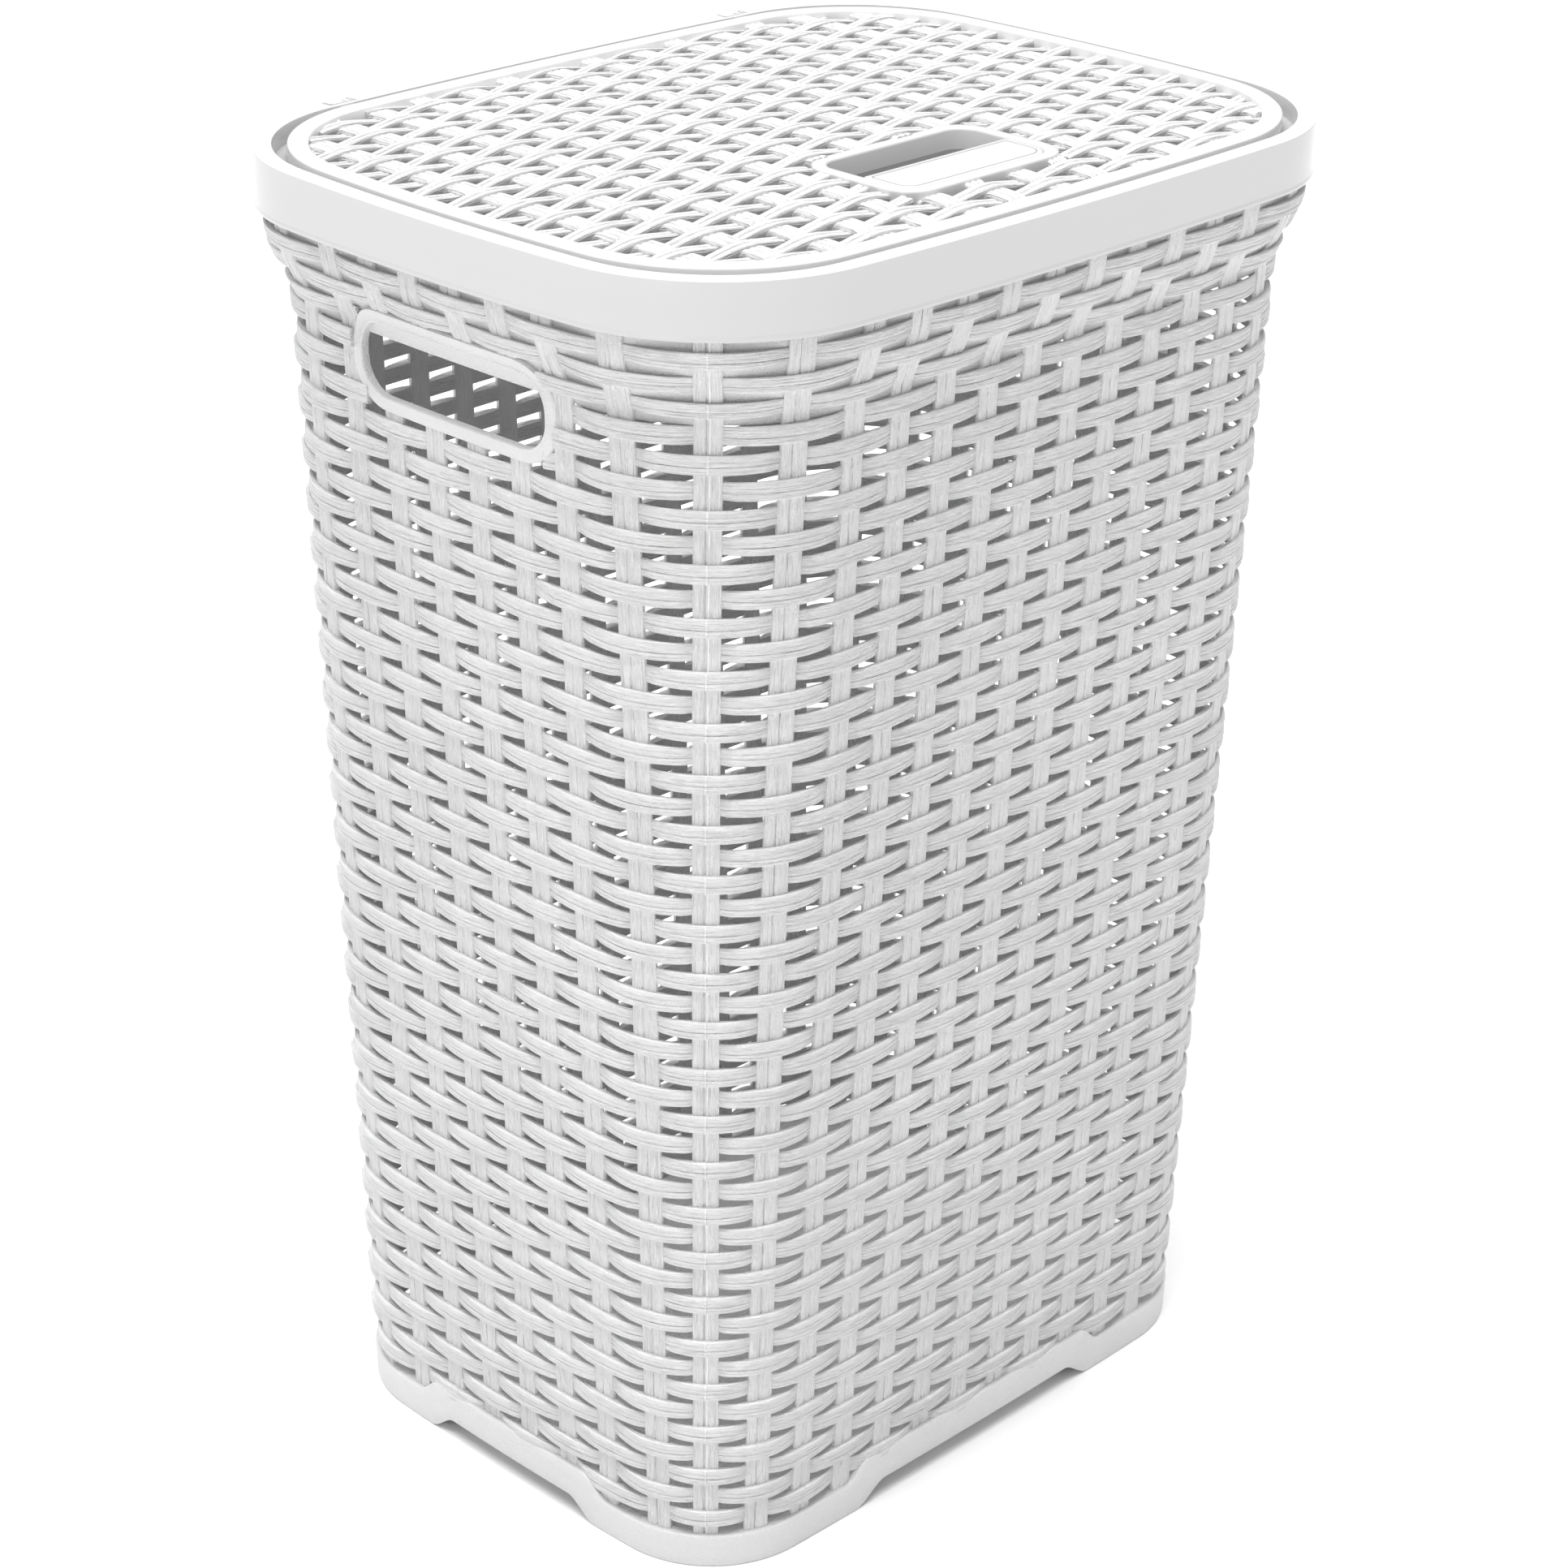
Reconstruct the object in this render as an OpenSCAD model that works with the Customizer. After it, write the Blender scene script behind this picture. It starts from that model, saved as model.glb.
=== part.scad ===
// Laundry hamper: drafted, woven-look basket with a collar and a hinged woven-look lid.
// Millimetres, +Z up, front of the hamper towards -Y, feet on Z = 0, centred on X and Y.

/* [Basket] */
// Height of the collar's flat top above the floor
rim_top = 600; // [560:1:640]
// Half distance between the corner axes along the long side
corner_x = 119.5; // [100:1:150]
// Half distance between the corner axes along the short side
corner_y = 74.5; // [60:1:110]
// Outer corner radius at the floor
base_r = 54; // [40:1:70]
// Outward growth of the wall per millimetre of height
draft = 0.0399; // [0.02:0.0001:0.06]
// Thickness of the slotted wall
wall = 2.2; // [1.6:0.1:3.5]
// Depth of the woven relief in front of the slotted wall
relief = 3; // [2:0.1:5]
// Top edge of the slotted walls, where the neck starts
wall_top = 548; // [520:1:560]

/* [Weave] */
// Distance between staves along the walls
stave_pitch = 25.4; // [20:0.1:32]
// Width of one stave
stave_w = 10.4; // [8:0.1:14]
// How far a stave stands out of the slotted wall
stave_proud = 2.4; // [1:0.1:3]
// Staves on the flat of a long wall
front_staves = 10; // [6:2:14]
// Staves on the flat of a short wall
side_staves = 6; // [4:2:8]
// Rows of slots
slot_rows = 46; // [20:1:48]
// Distance between rows of slots
slot_pitch = 11.3; // [9:0.1:16]
// Height of one slot
slot_h = 3.5; // [2:0.1:6]
// Width of one slot on a flat wall
slot_w = 15; // [10:0.1:18]
// Width of one slot around a corner
corner_slot_w = 11; // [8:0.1:12]
// Centre of the lowest row of slots
slot_first = 32; // [30:1:50]

/* [Base] */
// Height of the smooth band at the corners
band_h = 16.5; // [10:0.5:30]
// Rise of the band, and of the gap under it, between the feet
band_rise = 9.5; // [4:0.5:15]
// Length of the slope that leads up to the raised band
band_slope = 15; // [8:1:25]
// Half length of the raised band on a long wall, at its top
band_front = 73; // [50:1:100]
// Half length of the raised band on a short wall, at its top
band_side = 48; // [30:1:60]
// Extra shortening of the raised gap below the band
band_inset = 9; // [4:1:15]
// Thickness of the floor panel
floor_t = 2.5; // [2:0.1:4]

/* [Handles] */
// Width of a hand hole
hand_w = 108; // [80:1:120]
// Height of a hand hole
hand_h = 30; // [22:0.5:35]
// Corner radius of a hand hole
hand_r = 14; // [8:0.5:14.5]
// Width of the smooth frame around a hand hole
hand_frame = 4; // [4:0.5:9]
// Height of the hand hole's centre above the floor
hand_z = 528.5; // [480:0.5:530]

/* [Collar] */
// Outer corner radius of the collar
rim_r = 88.1; // [80:0.1:95]
// Height of the collar's outer face
rim_h = 24.5; // [18:0.5:32]
// Width of the collar's flat top
rim_w = 8.4; // [7:0.1:12]
// Thickness of the collar's skirts
rim_t = 2.2; // [1.6:0.1:3]
// Width of the ledge that carries the lid
ledge_w = 7.5; // [6:0.5:12]

/* [Lid] */
// Gap between the lid and the collar
lid_gap = 3.7; // [2:0.1:5]
// Width of the lid's smooth border
lid_border_w = 8; // [6:0.5:14]
// Height of the border's top above the collar
lid_crown = 2; // [0:0.1:3]
// Depth of the border's downturned lip below the collar's top
lip_depth = 8; // [5:0.5:12]
// Clear height between the lip and the ledge
rest_gap = 0.3; // [0.1:0.1:1]
// Distance between the lid's cross strips
strip_pitch = 25.3; // [20:0.1:30]
// Width of one cross strip
strip_w = 9.5; // [6:0.1:14]
// Distance between rows of slots in the lid
lid_slot_pitch = 10.85; // [8:0.05:16]
// Size of one slot in the lid, along X and along Y
lid_slot = [14, 3.6];

/* [Grip] */
// Width of the grip's opening
grip_w = 87; // [60:1:110]
// Length of the grip's opening
grip_l = 51; // [40:1:70]
// Distance of the grip's centre from the lid's centre
grip_y = 80.5; // [60:0.5:100]
// Width of the raised frame round the grip
grip_frame = 6; // [4:0.5:9]
// Corner radius of the grip's opening
grip_r = 10; // [6:0.5:14]
// Length of the pad that covers the front of the pocket
pad_l = 26; // [18:0.5:32]
// Depth of the pocket below the collar's top
pocket_depth = 22; // [15:0.5:26]

/* [Hinge] */
// Distance of each hinge from the middle of the back
hinge_x = 118; // [80:1:118]
// Radius of a hinge pin
pin_r = 1.25; // [1:0.05:1.5]
// Radial clearance of the barrel on its pin
pin_gap = 0.05; // [0.01:0.01:0.1]
// Radius of the lid's hinge barrel
barrel_r = 2.6; // [2.2:0.1:2.8]
// Width of the lid's hinge arm
arm_w = 7.6; // [5:0.1:9]
// Side clearance between a hinge arm and its cradle
arm_gap = 0.4; // [0.2:0.1:0.8]
// Thickness of a cradle's cheek
cheek_t = 2; // [1.5:0.1:3]

/* [Hidden] */
$fn = 96;
eps = 0.5;
sheet_r = base_r - relief;
floor_z = band_rise;
wall_z = floor_z + floor_t;
rim_inner_r = rim_r - rim_w;
channel_r = rim_r - rim_t;
neck_in_r = channel_r - wall;
rim_bottom = rim_top - rim_h;
lid_r = rim_inner_r - lid_gap;
field_r = lid_r - lid_border_w;
lid_top = rim_top + lid_crown;
plate_t = 3;
plate_z = lid_top - plate_t;
lip_z = rim_top - lip_depth;
panel_t = 2.5;
panel_z = plate_z - 1;
panel_top = panel_z + panel_t;
strip_h = 1.2;
axis_y = corner_y + rim_inner_r + 3;
axis_z = rim_top - 3.5;
slot_half = arm_w / 2 + arm_gap + cheek_t;
cradle_z = rim_top - 12;
cradle_in = corner_y + rim_inner_r + 0.4;
cradle_out = corner_y + channel_r - 0.2;
bezel_t = relief + 0.6;
bezel_seat = 0.3;
corner_steps = 23;
rib_step = 0.1;
neck_top = rim_bottom + 3;
front_mid = 20.5;
side_mid = 71.5;
corner_slots = [8, 32.75, 58.25, 83.4];
white = [0.93, 0.93, 0.92];
shade = [0.89, 0.89, 0.88];

function sheet_at(z) = sheet_r + draft * z;
function crest_at(z) = base_r + draft * z;
flare = channel_r - crest_at(wall_top);
function stave_foot(x, raised) = band_h + (abs(x) > raised + band_slope ? 3 : band_rise);

// Sweeps a radius-height section along X, facing -Y, off from the centre.
module run(length, off) {
  translate([0, -off, 0])
    rotate([90, 0, -90])
      translate([0, 0, -length / 2])
        linear_extrude(length)
          children();
}

// One quarter turn of a section about the corner axis in +X, +Y.
module bend() {
  translate([corner_x, corner_y, 0])
    rotate_extrude(angle = 90)
      children();
}

// Closed loop of a section round the rounded rectangle.
module loop() {
  for (s = [0, 180]) {
    rotate([0, 0, s]) {
      run(2 * corner_x, corner_y) children();
      bend() children();
    }
    rotate([0, 0, s - 90]) run(2 * corner_y, corner_x) children();
    mirror([1, 0, 0]) rotate([0, 0, s]) bend() children();
  }
}

module rounded(w, l, r) {
  square([w - 2 * r, l], center = true);
  square([w, l - 2 * r], center = true);
  for (x = [-1, 1], y = [-1, 1])
    translate([x * (w / 2 - r), y * (l / 2 - r)]) circle(r);
}

// Rounded rectangle on the corner axes, r beyond them.
module outline(r) {
  rounded(2 * (corner_x + r), 2 * (corner_y + r), r);
}

module drafted(z0, z1, inner, outer) {
  polygon([
    [inner + draft * z0, z0], [outer + draft * z0, z0],
    [outer + draft * z1, z1], [inner + draft * z1, z1]
  ]);
}

module wall_section() {
  drafted(wall_z, wall_top, sheet_r - wall, sheet_r);
}

module stave_section(z0) {
  drafted(z0, wall_top - eps, sheet_r - 0.2, sheet_r + stave_proud);
}

// Flat wall facing -Y, with staves standing on it and rows of slots between them.
module flat_wall(half, off, staves, raised, hand) {
  rows = hand ? slot_rows - 4 : slot_rows;
  difference() {
    union() {
      run(2 * half, off) wall_section();
      for (i = [0 : staves - 1])
        translate([(i - (staves - 1) / 2) * stave_pitch, 0, 0])
          run(stave_w, off) stave_section(stave_foot((i - (staves - 1) / 2) * stave_pitch, raised));
    }
    for (i = [1 : staves - 1], j = [0 : rows - 1])
      translate([(i - staves / 2) * stave_pitch, -off - sheet_at(slot_first + j * slot_pitch), 0])
        translate([0, 0, slot_first + j * slot_pitch])
          cube([slot_w, 6 * wall, slot_h], center = true);
    if (hand)
      on_side() {
        linear_extrude(40, center = true) rounded(hand_w, hand_h, hand_r);
        translate([0, 0, -bezel_seat]) linear_extrude(20) hand_outline();
      }
  }
}

module hand_outline() {
  rounded(hand_w + 2 * hand_frame, hand_h + 2 * hand_frame, hand_r + hand_frame - 2);
}

// Drawing plane of a hand hole, leaned with the wall that faces -Y before it is turned.
module on_side() {
  translate([0, -corner_x - sheet_at(hand_z), hand_z])
    rotate([90 + atan(draft), 0, 0])
      children();
}

module long_wall() {
  flat_wall(corner_x, corner_y, front_staves, band_front, false);
}

module short_wall() {
  flat_wall(corner_y, corner_x, side_staves, band_side, true);
}

function corner_cut(k) =
  k == 0 ? wall_z : k == corner_steps ? wall_top
  : slot_first + (round(k * slot_rows / corner_steps) - 0.5) * slot_pitch;

// Wall section of a corner, its inner side stepped with faint ribs between the rows of slots.
module corner_section() {
  polygon([
    for (k = [0 : corner_steps]) [sheet_at(corner_cut(k)) - wall - rib_step * (k % 2), corner_cut(k)],
    [sheet_at(wall_top), wall_top], [sheet_at(wall_z), wall_z]
  ]);
}

// Curved wall in the +X, +Y corner, from its long-wall end to its short-wall end.
module corner_wall() {
  difference() {
    union() {
      bend() corner_section();
      for (a = [90 - front_mid, 45, 90 - side_mid])
        translate([corner_x, corner_y, 0])
          rotate([0, 0, a - 4.6])
            rotate_extrude(angle = 9.2)
              stave_section(band_h);
    }
    for (a = corner_slots, j = [0 : slot_rows - 1])
      translate([corner_x, corner_y, slot_first + j * slot_pitch])
        rotate([0, 0, 90 - a])
          translate([sheet_at(slot_first + j * slot_pitch), 0, 0])
            cube([6 * wall, corner_slot_w, slot_h], center = true);
  }
}

// Band on one wall: low at both ends, raised between them, with the gap between the feet below.
module band_run(half, off, raised) {
  difference() {
    run(2 * half, off) drafted(0, band_h + band_rise, sheet_r, base_r);
    for (s = [-1, 1])
      rotate([90, 0, 0]) linear_extrude(off + 2 * base_r)
        polygon([
          [s * raised, band_h + band_rise + eps], [s * raised, band_h + band_rise],
          [s * (raised + band_slope), band_h], [s * (half + eps), band_h],
          [s * (half + eps), band_h + band_rise + eps]
        ]);
    rotate([90, 0, 0]) linear_extrude(off + 2 * base_r)
      polygon([
        [-raised - band_slope + band_inset, -eps], [-raised - band_slope + band_inset, 0],
        [-raised + band_inset, band_rise], [raised - band_inset, band_rise],
        [raised + band_slope - band_inset, 0], [raised + band_slope - band_inset, -eps]
      ]);
  }
}

module base_band() {
  color(white)
    for (s = [0, 180]) {
      rotate([0, 0, s]) {
        band_run(corner_x, corner_y, band_front);
        bend() drafted(0, band_h, sheet_r, base_r);
      }
      rotate([0, 0, s - 90]) band_run(corner_y, corner_x, band_side);
      mirror([1, 0, 0]) rotate([0, 0, s]) bend() drafted(0, band_h, sheet_r, base_r);
    }
}

module floor_panel() {
  color(shade)
    translate([0, 0, floor_z])
      linear_extrude(floor_t)
        outline(sheet_at(floor_z));
}

module front_wall() { color(white) long_wall(); }
module back_wall() { color(white) rotate([0, 0, 180]) long_wall(); }
module left_wall() { color(white) rotate([0, 0, -90]) short_wall(); }
module right_wall() { color(white) rotate([0, 0, 90]) short_wall(); }

module corner_back_right() { color(white) corner_wall(); }
module corner_back_left() { color(white) mirror([1, 0, 0]) corner_wall(); }
module corner_front_left() { color(white) rotate([0, 0, 180]) corner_wall(); }
module corner_front_right() { color(white) mirror([0, 1, 0]) corner_wall(); }

// Openings in the collar and its inner skirt that take the two hinge cradles.
module hinge_slots() {
  for (s = [-1, 1])
    translate([s * hinge_x - slot_half, corner_y + rim_inner_r - eps, cradle_z])
      cube([2 * slot_half, rim_w - rim_t + eps, 20]);
}

module neck() {
  color(white)
    loop()
      polygon([
        [sheet_at(wall_top) - wall, wall_top], [crest_at(wall_top), wall_top],
        [crest_at(wall_top) + 0.52 * flare, wall_top + 8], [channel_r - 0.14 * flare, wall_top + 18],
        [channel_r, rim_bottom], [channel_r, neck_top], [neck_in_r, neck_top],
        [neck_in_r, rim_bottom + 1], [neck_in_r - 0.14 * flare, wall_top + 19]
      ]);
}

module hand_frame() {
  on_side()
    translate([0, 0, -bezel_seat])
      linear_extrude(bezel_t + bezel_seat)
        difference() {
          hand_outline();
          rounded(hand_w, hand_h, hand_r);
        }
}

module hand_frame_left() { color(white) rotate([0, 0, -90]) hand_frame(); }
module hand_frame_right() { color(white) rotate([0, 0, 90]) hand_frame(); }

module collar() {
  color(white)
    difference() {
      loop()
        polygon([
          [channel_r, rim_bottom], [rim_r, rim_bottom], [rim_r, rim_top - 3],
          [rim_r - 0.9, rim_top - 0.9], [rim_r - 3, rim_top], [rim_inner_r, rim_top],
          [rim_inner_r, rim_top - rim_t], [channel_r, rim_top - rim_t]
        ]);
      hinge_slots();
    }
}

// Inner skirt that hangs from the collar's top and carries the lid on its ledge.
module lid_ledge() {
  color(white)
    difference() {
      loop()
        polygon([
          [rim_inner_r + rim_t, rim_top - rim_t], [rim_inner_r, rim_top - rim_t],
          [rim_inner_r, lip_z - rest_gap], [rim_inner_r - ledge_w, lip_z - rest_gap],
          [rim_inner_r - ledge_w, lip_z - rest_gap - rim_t],
          [rim_inner_r + rim_t, lip_z - rest_gap - rim_t]
        ]);
      hinge_slots();
    }
}

// Round shape about the hinge line, length long and centred on x.
module barrel(r, x, length) {
  translate([x - length / 2, axis_y, axis_z]) rotate([0, 90, 0]) cylinder(r = r, h = length);
}

module hinge_cradle(x) {
  difference() {
    union()
      for (s = [-1, 1])
        translate([x + s * (slot_half - cheek_t / 2) - cheek_t / 2, cradle_in, cradle_z])
          cube([cheek_t, cradle_out - cradle_in, axis_z + barrel_r - cradle_z]);
    barrel(pin_r, x, 4 * slot_half);
  }
  translate([x - slot_half, cradle_in, cradle_z]) cube([2 * slot_half, cradle_out - cradle_in, 2]);
}

module hinge_cradle_left() { color(shade) hinge_cradle(-hinge_x); }
module hinge_cradle_right() { color(shade) hinge_cradle(hinge_x); }
module hinge_pin_left() { color(shade) barrel(pin_r, -hinge_x, 2 * slot_half); }
module hinge_pin_right() { color(shade) barrel(pin_r, hinge_x, 2 * slot_half); }

module hinge_arm(x) {
  difference() {
    union() {
      barrel(barrel_r, x, arm_w);
      translate([x - arm_w / 2, corner_y + lid_r - 4.5, plate_z - 4])
        cube([arm_w, axis_y - corner_y - lid_r + 4.5, 4]);
    }
    barrel(pin_r + pin_gap, x, 2 * arm_w);
  }
}

module hinge_arm_left() { color(shade) hinge_arm(-hinge_x); }
module hinge_arm_right() { color(shade) hinge_arm(hinge_x); }

module lid_border() {
  color(white)
    difference() {
      loop()
        polygon([
          [lid_r - 2, lip_z], [lid_r, lip_z], [lid_r, rim_top - 1], [lid_r - 1, rim_top + 0.4],
          [lid_r - 3, lid_top - 0.4], [lid_r - 5, lid_top], [field_r, lid_top],
          [field_r, plate_z], [lid_r - 2, plate_z]
        ]);
      for (s = [-1, 1])
        translate([s * hinge_x - arm_w / 2, corner_y + lid_r - 4.5, plate_z - 4])
          cube([arm_w, 10, 4]);
    }
}

module grip_hole(margin) {
  translate([0, -grip_y]) rounded(grip_w + 2 * margin, grip_l + 2 * margin, grip_r + margin);
}

function in_corner(x, y) =
  x > corner_x && y > corner_y && norm([x - corner_x, y - corner_y]) > field_r - 2;

module lid_weave() {
  color(white) {
    difference() {
      translate([0, 0, panel_z]) linear_extrude(panel_t) outline(field_r);
      for (i = [-6 : 6], j = [-12.5 : 12.5])
        if (!in_corner(abs(i * strip_pitch) + lid_slot.x / 2, abs(j * lid_slot_pitch) + lid_slot.y / 2)
            && (abs(i * strip_pitch) > grip_w / 2 + 15 || abs(j * lid_slot_pitch + grip_y) > grip_l / 2 + 11))
          translate([i * strip_pitch, j * lid_slot_pitch, panel_z])
            cube([lid_slot.x, lid_slot.y, 3 * panel_t], center = true);
      translate([0, 0, panel_z - eps]) linear_extrude(2 * panel_t) grip_hole(0);
    }
    translate([0, 0, panel_top - 0.2])
      linear_extrude(strip_h + 0.2)
        difference() {
          intersection() {
            outline(field_r);
            for (i = [-6.5 : 6.5])
              translate([i * strip_pitch, 0]) square([strip_w, 2 * (corner_y + field_r)], center = true);
          }
          grip_hole(grip_frame);
        }
  }
}

module grip_frame() {
  color(white)
    translate([0, 0, panel_top])
      linear_extrude(lid_top - panel_top + 0.8)
        difference() {
          grip_hole(grip_frame);
          grip_hole(0);
        }
}

module grip_pocket() {
  color(shade)
    difference() {
      translate([0, 0, rim_top - pocket_depth]) linear_extrude(panel_z - rim_top + pocket_depth) grip_hole(2);
      translate([0, 0, rim_top - pocket_depth + 2]) linear_extrude(pocket_depth) grip_hole(0);
    }
}

// Pad over the front of the pocket, its back edge free for the fingers.
module grip_pad() {
  color(white)
    translate([0, 0, panel_top - 2])
      linear_extrude(lid_top - panel_top + 2)
        intersection() {
          grip_hole(0);
          translate([0, -grip_y - grip_l / 2 + pad_l / 2]) square([grip_w, pad_l], center = true);
        }
}

base_band();
floor_panel();
front_wall();
back_wall();
left_wall();
right_wall();
corner_front_left();
corner_front_right();
corner_back_left();
corner_back_right();
neck();
hand_frame_left();
hand_frame_right();
collar();
lid_ledge();
hinge_cradle_left();
hinge_cradle_right();
hinge_pin_left();
hinge_pin_right();
lid_border();
lid_weave();
grip_frame();
grip_pocket();
grip_pad();
hinge_arm_left();
hinge_arm_right();
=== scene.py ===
"""Laundry hamper with a woven-look basket, a smooth collar and a hinged woven-look lid."""

import math

import bpy
import numpy as np
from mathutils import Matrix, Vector


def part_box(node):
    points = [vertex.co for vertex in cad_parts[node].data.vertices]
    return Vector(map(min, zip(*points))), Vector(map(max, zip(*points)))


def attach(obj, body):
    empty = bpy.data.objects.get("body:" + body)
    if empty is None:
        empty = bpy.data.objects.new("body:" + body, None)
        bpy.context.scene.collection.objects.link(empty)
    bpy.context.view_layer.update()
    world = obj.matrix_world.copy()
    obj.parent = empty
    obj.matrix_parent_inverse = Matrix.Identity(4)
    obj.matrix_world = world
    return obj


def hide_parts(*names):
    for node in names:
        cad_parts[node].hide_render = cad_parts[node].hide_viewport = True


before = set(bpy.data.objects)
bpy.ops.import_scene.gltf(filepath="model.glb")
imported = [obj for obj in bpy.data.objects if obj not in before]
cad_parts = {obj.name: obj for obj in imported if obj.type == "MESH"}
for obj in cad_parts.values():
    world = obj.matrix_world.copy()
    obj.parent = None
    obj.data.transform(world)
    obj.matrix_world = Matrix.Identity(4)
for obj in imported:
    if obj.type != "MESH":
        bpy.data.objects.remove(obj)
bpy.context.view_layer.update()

MM = 0.001
BASKET, LID = "basket", "lid"
RIM_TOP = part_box("collar")[1].z / MM

# ---- shape of the basket, in millimetres -------------------------------------------------

FOOT_HALF = (174.2, 131.1)  # half width and half depth of the weave at the floor
FOOT_R = 53.4
DRAFT = (0.03934, 0.03585)  # how much the halves grow per millimetre of height
R_DRAFT = 0.0409
FLARE_START = 541.0
FLARE_END = 575.5
FLARE_HALF = (206.5, 160.8)
FLARE_R = 80.0
CLIMB_START = 300.0  # height where the corner staves begin to spread
BOW = 1.6  # how far a flat side swells out past its corners
FLARE_BOW = 2.6
COLLAR_HALF = (208.0, 162.3)
COLLAR_R = 81.4
COLLAR_BOW = 2.8
CORNER_STAVES = (22.0, 47.4, 71.5)  # degrees from the long side, up to mid height
CORNER_TOPS = (18.8, 46.3, 75.5)  # and at the collar
PITCH = 25.5
FRONT_STAVES = 5  # on half a long side
SIDE_STAVES = 3  # on half a short side
STAVES = 2 * (2 * FRONT_STAVES + 2 * SIDE_STAVES + 2 * len(CORNER_STAVES))
BACK_PLANE = -4.4

ROWS = 49
ROW_FIRST = 25.6
ROW_PITCH = 11.3
ROW_HALF = 4.0
FLARE_ROW_HALF = 3.6
PARITY = 1
DIVE = 2.8  # how far a strand sinks behind a stave

BAND_H = 16.5
BAND_RISE = 9.5


def smooth(x, a, b):
    """0 before a, 1 after b, and a smooth step between."""
    t = np.clip((x - a) / (b - a), 0.0, 1.0)
    return t * t * (3.0 - 2.0 * t)


class Outline:
    """Rounded rectangle of four corner arcs and four shallow side arcs, all tangent."""

    def __init__(self, a, b, r, bow_a, bow_b, climb=0.0):
        self.a, self.b, self.r = a, b, r
        self.climb = climb  # 0 where the corner staves stand as at the foot, 1 at the collar
        self.cx, self.cy = a - bow_a - r, b - bow_b - r
        self.rb, self.tb = self.side_arc(self.cx, b - self.cy)
        self.ra, self.ta = self.side_arc(self.cy, a - self.cx)
        self.len_b = self.rb * self.tb
        self.len_c = r * (math.pi / 2 - self.tb - self.ta)
        self.len_a = self.ra * self.ta
        self.quarter = self.len_b + self.len_c + self.len_a

    def side_arc(self, half, depth):
        radius = (half**2 + depth**2 - self.r**2) / (2.0 * (depth - self.r))
        return radius, np.arcsin(half / (radius - self.r))

    def quadrant(self, s, off):
        """Point at arc length s from the middle of the long side, off outside the outline."""
        on_side = s < self.len_b
        on_corner = s < self.len_b + self.len_c
        turn = np.where(
            on_side,
            s / self.rb,
            np.where(
                on_corner,
                self.tb + (s - self.len_b) / self.r,
                math.pi / 2 - self.ta + (s - self.len_b - self.len_c) / self.ra,
            ),
        )
        x0 = np.where(on_side, 0.0, np.where(on_corner, self.cx, self.a - self.ra))
        y0 = np.where(on_side, self.b - self.rb, np.where(on_corner, self.cy, 0.0))
        radius = np.where(on_side, self.rb, np.where(on_corner, self.r, self.ra)) + off
        return x0 + radius * np.sin(turn), y0 + radius * np.cos(turn)

    def at(self, s, off):
        """Point at arc length s counterclockwise from the middle of the front."""
        s = np.mod(s, 4.0 * self.quarter)
        part = np.minimum(np.floor(s / self.quarter), 3.0)
        local = s - part * self.quarter
        odd = np.mod(part, 2.0) > 0.5
        x, y = self.quadrant(np.where(odd, self.quarter - local, local), off)
        return np.where(part < 1.5, x, -x), np.where((part < 0.5) | (part > 2.5), -y, y)

    def stave(self, index):
        """Arc length of stave number index, counted counterclockwise from the front's middle."""
        per = STAVES // 4
        index = np.mod(index, STAVES)
        part = index // per
        k = np.where(part % 2 == 0, index % per, per - 1 - index % per)
        flat = np.arcsin(np.clip((k + 0.5) * PITCH / self.rb, -1, 1)) * self.rb
        corner = np.clip(k - FRONT_STAVES, 0, 2)
        foot, top = np.array(CORNER_STAVES)[corner], np.array(CORNER_TOPS)[corner]
        turn = np.radians(foot + (top - foot) * self.climb)
        bend = self.len_b + (turn - self.tb) * self.r
        side_y = (per - k - 0.5) * PITCH
        side = self.quarter - np.arcsin(np.clip(side_y / self.ra, -1, 1)) * self.ra
        last = FRONT_STAVES + len(CORNER_STAVES)
        s = np.where(k < FRONT_STAVES, flat, np.where(k < last, bend, side))
        return part * self.quarter + np.where(part % 2 == 0, s, self.quarter - s)

    def path(self, q):
        """Arc length at stave coordinate q: whole numbers are staves, with even steps between."""
        low = np.floor(q).astype(int)
        s0, s1 = self.stave(low), self.stave(low + 1)
        loop = 4.0 * self.quarter
        s1 = np.where(s1 < s0, s1 + loop, s1)
        return s0 + (q - low) * (s1 - s0)


def body(z):
    """Outline of the woven wall's crest at height z."""
    low = np.minimum(z, FLARE_START)
    t = np.clip((z - FLARE_START) / (FLARE_END - FLARE_START), 0.0, 1.0)
    f = np.sin(0.5 * math.pi * t) ** 1.15
    a = FOOT_HALF[0] + DRAFT[0] * low
    b = FOOT_HALF[1] + DRAFT[1] * low
    r = FOOT_R + R_DRAFT * low
    bow = BOW + (FLARE_BOW - BOW) * f
    climb = np.clip((z - CLIMB_START) / (FLARE_END - CLIMB_START), 0.0, 1.0) ** 2
    a, b = a + (FLARE_HALF[0] - a) * f, b + (FLARE_HALF[1] - b) * f
    return Outline(a, b, r + (FLARE_R - r) * f, bow, bow, climb)


COLLAR = Outline(*COLLAR_HALF, COLLAR_R, COLLAR_BOW, COLLAR_BOW)

# ---- mesh helpers --------------------------------------------------------------------------


def strip_faces(stations, ring, closed_ring=True, closed_path=False, caps=False):
    """Quads that join a run of rings; the vertex number is station * ring + place."""
    last = stations if closed_path else stations - 1
    i = np.arange(last)[:, None]
    j = np.arange(ring if closed_ring else ring - 1)[None, :]
    i2, j2 = (i + 1) % stations, (j + 1) % ring
    quads = np.stack([i * ring + j, i * ring + j2, i2 * ring + j2, i2 * ring + j], -1)
    faces = [quads.reshape(-1, 4)]
    if caps:
        faces.append([list(range(ring))[::-1], [(stations - 1) * ring + k for k in range(ring)]])
    return faces


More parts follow.
